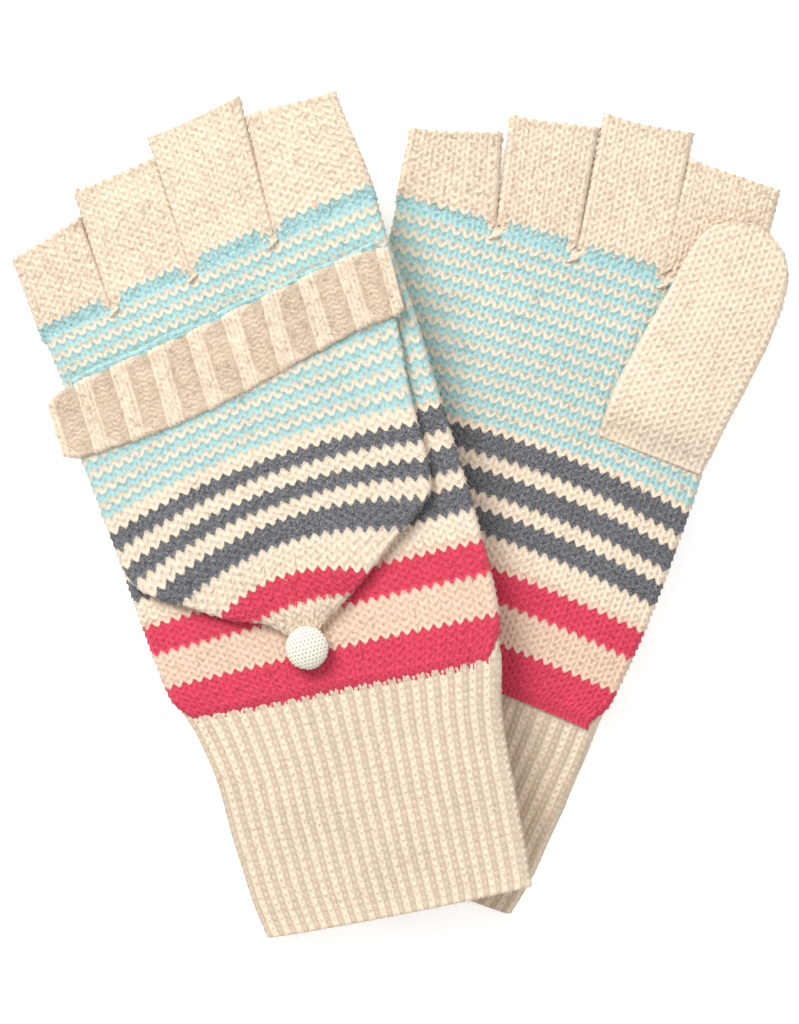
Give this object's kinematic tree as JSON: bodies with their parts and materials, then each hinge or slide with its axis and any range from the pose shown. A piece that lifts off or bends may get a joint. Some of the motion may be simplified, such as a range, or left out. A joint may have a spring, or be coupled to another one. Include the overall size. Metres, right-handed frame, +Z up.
{
  "type": "pair of fingerless gloves",
  "caption": "Pair of flat-lying knitted gloves with open finger tubes, closed thumbs, ribbed cuffs and a fold-back mitten cap that buttons at the wrist.",
  "frame": {"origin": "on the surface the pair lies on, under the middle of the whole layout", "axes": "+Z up out of the surface; +Y towards the fingertips; the left glove's hand lies on the -X side and the right glove's on the +X side"},
  "size_m": [0.2086, 0.2281, 0.0288],
  "materials": {
    "cream_rib": "ribbed wool knit",
    "cream_knit": "smooth wool knit",
    "striped_knit": "smooth wool knit in stripes",
    "aqua_yarn": "sewn wool seam",
    "cream_yarn": "wool yarn",
    "button_skin": "fine cotton knit",
    "button_mould": "moulded",
    "sewing_thread": "sewing thread"
  },
  "bodies": {
    "right_glove": {"right_cuff": "cream_rib", "right_hand": "striped_knit", "right_little_finger": "cream_knit", "right_ring_finger": "cream_knit", "right_middle_finger": "cream_knit", "right_index_finger": "cream_knit", "right_cap_seam": "aqua_yarn", "right_button_shank": "sewing_thread", "right_fork_stitches": "cream_yarn"},
    "right_cap": {"right_cap": "striped_knit", "right_cap_band": "cream_rib", "right_button_loop": "cream_yarn"},
    "right_thumb": {"right_thumb": "cream_knit"},
    "right_button": {"right_button_cover": "button_skin", "right_button_core": "button_mould", "right_button_back": "button_skin"},
    "left_glove": {"left_cuff": "cream_rib", "left_hand": "striped_knit", "left_little_finger": "cream_knit", "left_ring_finger": "cream_knit", "left_middle_finger": "cream_knit", "left_index_finger": "cream_knit", "left_cap_seam": "aqua_yarn", "left_button_shank": "sewing_thread", "left_fork_stitches": "cream_yarn"},
    "left_cap": {"left_cap": "striped_knit", "left_cap_band": "cream_rib", "left_button_loop": "cream_yarn"},
    "left_thumb": {"left_thumb": "cream_knit"},
    "left_button": {"left_button_cover": "button_skin", "left_button_core": "button_mould", "left_button_back": "button_skin"}
  },
  "joints": [
    {"name": "left_glove_lift", "type": "slide", "parent": "right_glove", "child": "left_glove", "axis": [0, 0, 1], "range_m": [0, 0.12]},
    {"name": "left_cap_flip", "type": "hinge", "parent": "left_glove", "child": "left_cap", "pos_m": [-0.04811, 0.05468, 0.01718], "axis": [-0.8986, -0.3931, -0.1948], "range_deg": [0, 180], "deforming": ["left_button_loop"]},
    {"name": "left_thumb_swing", "type": "hinge", "parent": "left_glove", "child": "left_thumb", "pos_m": [-0.00367, 0.02737, 0.01547], "axis": [0.1927, 0.0452, -0.9802], "range_deg": [0, 30]},
    {"name": "left_button_turn", "type": "hinge", "parent": "left_glove", "child": "left_button", "pos_m": [-0.02535, -0.03362, 0.01702], "axis": [-0.1927, -0.0452, 0.9802], "range_deg": [-60, 60]},
    {"name": "right_cap_flip", "type": "hinge", "parent": "right_glove", "child": "right_cap", "pos_m": [0.04564, 0.06441, 0.0022], "axis": [0.9832, -0.1823, -0.0023], "range_deg": [0, 180], "deforming": ["right_button_loop"]},
    {"name": "right_thumb_swing", "type": "hinge", "parent": "right_glove", "child": "right_thumb", "pos_m": [0.06634, 0.0175, 0.01199], "axis": [-0.0059, -0.0194, -0.9998], "range_deg": [-10, 25]},
    {"name": "right_button_turn", "type": "hinge", "parent": "right_glove", "child": "right_button", "pos_m": [0.01519, -0.02151, 0.0046], "axis": [0.0059, 0.0194, 0.9998], "range_deg": [-60, 60]}
  ]
}
